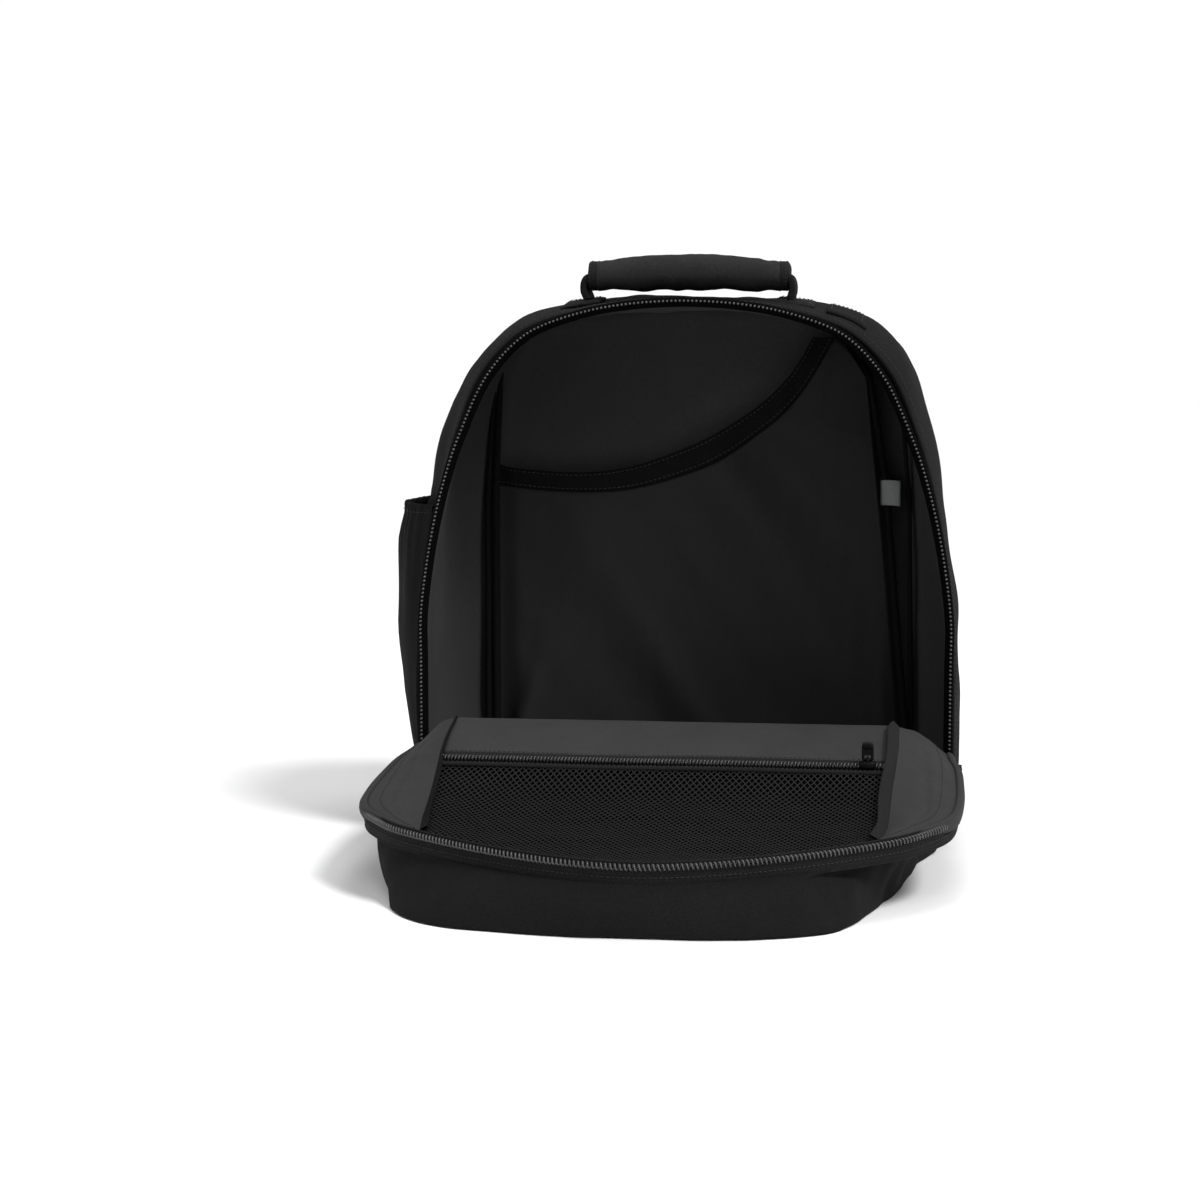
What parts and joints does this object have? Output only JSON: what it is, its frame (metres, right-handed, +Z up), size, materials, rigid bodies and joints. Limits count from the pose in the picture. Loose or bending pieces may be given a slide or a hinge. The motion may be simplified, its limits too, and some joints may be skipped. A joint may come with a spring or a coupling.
{
  "type": "travel backpack",
  "caption": "Clamshell travel backpack, front half unzipped and folded open: laptop sleeve, zipped mesh pocket, grab handle, side pocket and shoulder straps.",
  "frame": {"origin": "on the floor, under the middle of the main zip plane", "axes": "+Z up, +Y towards the wearer (back panel), +X to the right as seen from the open front; the hinge line of the front half runs along X"},
  "size_m": [0.3561, 0.4624, 0.3585],
  "materials": {
    "outer_fabric": "matt charcoal woven polyester, fine weave",
    "lining_fabric": "smooth dark grey lining, slight sheen",
    "pocket_mesh": "open diamond mesh",
    "spacer_mesh": "padded spacer mesh",
    "foam": "closed-cell foam",
    "webbing": "ribbed woven webbing",
    "binding": "black grosgrain binding",
    "zip_tape": "herringbone zip tape",
    "zip_coil": "black nylon coil",
    "slider_metal": "black enamelled, worn edges",
    "buckle_plastic": "moulded acetal, fine grain",
    "board": "stiff sheet",
    "label": "blank satin label"
  },
  "bodies": {
    "pack_body": {"back_foam": "foam", "back_lining_panel": "lining_fabric", "back_panel": "spacer_mesh", "back_seam_binding": "binding", "base_board": "board", "body_gusset_shell": "outer_fabric", "body_lining": "lining_fabric", "body_zip_coil": "zip_coil", "body_zip_tape": "zip_tape", "care_label": "label", "handle_anchor_patches": "outer_fabric", "laptop_sleeve_binding": "binding", "laptop_sleeve_panel": "lining_fabric", "lower_front_panel": "outer_fabric", "side_pocket_hem": "binding", "side_pocket_panel": "outer_fabric", "sleeve_seam_left": "binding", "sleeve_seam_right": "binding", "strap_bottom_anchors": "outer_fabric", "strap_yoke": "outer_fabric", "top_tab": "outer_fabric", "zip_end_stops": "slider_metal"},
    "handle": {"handle_webbing": "webbing", "handle_grip": "outer_fabric", "handle_end_bindings": "binding"},
    "strap_left": {"shoulder_strap_left": "spacer_mesh", "strap_webbing_left": "webbing", "ladder_lock_left": "buckle_plastic"},
    "strap_right": {"shoulder_strap_right": "spacer_mesh", "strap_webbing_right": "webbing", "ladder_lock_right": "buckle_plastic"},
    "tail_left": {"strap_tail_left": "webbing"},
    "tail_right": {"strap_tail_right": "webbing"},
    "main_slider_left": {"main_slider_left": "slider_metal"},
    "main_slider_right": {"main_slider_right": "slider_metal"},
    "main_pull_left": {"main_pull_left": "slider_metal"},
    "main_pull_right": {"main_pull_right": "slider_metal"},
    "mesh_slider": {"mesh_slider": "slider_metal"},
    "mesh_pull": {"mesh_pull": "slider_metal"},
    "lid": {"lid_floor_lining": "lining_fabric", "lid_front_panel": "outer_fabric", "lid_gusset_lining": "lining_fabric", "lid_gusset_shell": "outer_fabric", "lid_inner_panel": "lining_fabric", "lid_seam_binding_left": "binding", "lid_seam_binding_right": "binding", "lid_zip_coil": "zip_coil", "lid_zip_tape": "zip_tape", "mesh_pocket_binding": "binding", "mesh_pocket_panel": "pocket_mesh", "mesh_zip_coil": "zip_coil", "mesh_zip_tape": "zip_tape"}
  },
  "joints": [
    {"name": "lid_hinge", "type": "hinge", "parent": "pack_body", "child": "lid", "pos_m": [0, 0, 0.057], "axis": [-1, 0, 0], "range_deg": [0, 93.8]},
    {"name": "handle_swing", "type": "hinge", "parent": "pack_body", "child": "handle", "pos_m": [0, 0.05, 0.3335], "axis": [1, 0, 0], "range_deg": [-30, 30]},
    {"name": "strap_left_swing", "type": "hinge", "parent": "pack_body", "child": "strap_left", "pos_m": [-0.045, 0.146, 0.303], "axis": [-0.2678, 0, -0.9635], "range_deg": [-18, 18]},
    {"name": "tail_left_hinge", "type": "hinge", "parent": "strap_left", "child": "tail_left", "pos_m": [-0.10499, 0.17, 0.08718], "axis": [0.9635, 0, -0.2678], "range_deg": [0, 70]},
    {"name": "main_slider_left_slide", "type": "slide", "parent": "pack_body", "child": "main_slider_left", "axis": [0, 0, 1], "range_m": [0, 0.075]},
    {"name": "main_pull_left_hinge", "type": "hinge", "parent": "main_slider_left", "child": "main_pull_left", "pos_m": [-0.167, 0, 0.047], "axis": [0, 1, 0], "range_deg": [0, 150]},
    {"name": "strap_right_swing", "type": "hinge", "parent": "pack_body", "child": "strap_right", "pos_m": [0.045, 0.146, 0.303], "axis": [0.2678, 0, -0.9635], "range_deg": [-18, 18]},
    {"name": "tail_right_hinge", "type": "hinge", "parent": "strap_right", "child": "tail_right", "pos_m": [0.10499, 0.17, 0.08718], "axis": [0.9635, 0, 0.2678], "range_deg": [0, 70]},
    {"name": "main_slider_right_slide", "type": "slide", "parent": "pack_body", "child": "main_slider_right", "axis": [0, 0, 1], "range_m": [0, 0.075]},
    {"name": "main_pull_right_hinge", "type": "hinge", "parent": "main_slider_right", "child": "main_pull_right", "pos_m": [0.167, 0, 0.047], "axis": [0, -1, 0], "range_deg": [0, 150]},
    {"name": "mesh_slider_slide", "type": "slide", "parent": "lid", "child": "mesh_slider", "axis": [1, 0, 0], "range_m": [-0.216, 0.004]},
    {"name": "mesh_pull_hinge", "type": "hinge", "parent": "mesh_slider", "child": "mesh_pull", "pos_m": [0.108, -0.101, 0.0694], "axis": [1, 0, 0], "range_deg": [-75, 75]}
  ]
}
